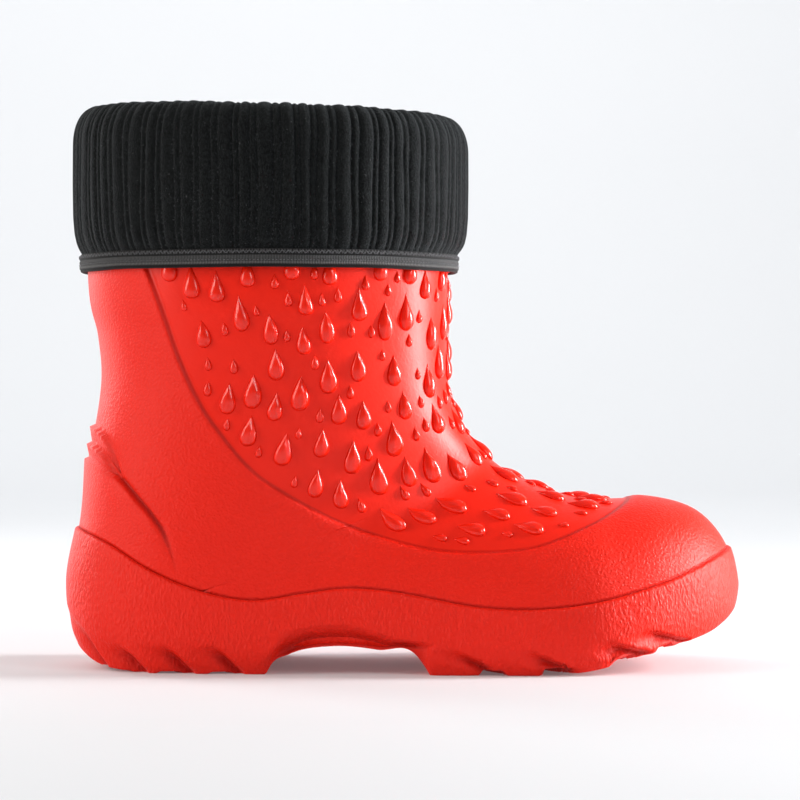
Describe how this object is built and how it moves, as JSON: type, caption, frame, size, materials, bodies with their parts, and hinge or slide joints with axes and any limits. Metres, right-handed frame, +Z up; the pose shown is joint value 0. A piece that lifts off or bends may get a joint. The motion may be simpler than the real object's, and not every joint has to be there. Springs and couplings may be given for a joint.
{
  "type": "rain boot",
  "caption": "Child's ankle-high foam rain boot with raised drops, lugged sole and a removable lined sock whose ribbed cuff turns down over the rim.",
  "frame": {"origin": "on the ground, under the middle of the boot's bounding box", "axes": "+X towards the toe, +Y towards the medial (inner) side of this right boot, +Z up"},
  "size_m": [0.2118, 0.0978, 0.1728],
  "materials": {
    "red_foam": "moulded satin foam with a fine leather grain",
    "cuff_velour": "ribbed velour, deep matt pile",
    "hem_tape": "woven elastic tape with fine lengthwise ridges",
    "thread": "spun polyester thread, slight sheen",
    "liner_pile": "short looped pile, matt",
    "felt": "pressed felt, matt",
    "insole_foam": "closed-cell foam, matt",
    "elastic": "natural rubber strip, matt"
  },
  "bodies": {
    "boot": {"upper_shell": "red_foam", "sole_unit": "red_foam", "liner_lateral_panel": "liner_pile", "liner_medial_panel": "liner_pile", "liner_felt_sole": "felt", "liner_sole_seam": "thread", "liner_heel_seam": "thread", "liner_instep_seam": "thread", "liner_ankle_seam": "thread", "liner_leg": "liner_pile", "insole_foam": "insole_foam", "insole_cover": "felt"},
    "cuff": {"cuff": "cuff_velour", "cuff_seam": "thread", "hem_binding": "hem_tape", "hem_elastic": "elastic", "hem_stitch_upper": "thread", "hem_stitch_lower": "thread"}
  },
  "joints": [
    {"name": "cuff_lift", "type": "slide", "parent": "boot", "child": "cuff", "axis": [0, 0, 1], "range_m": [0, 0.045], "deforming": ["liner_leg"]}
  ]
}
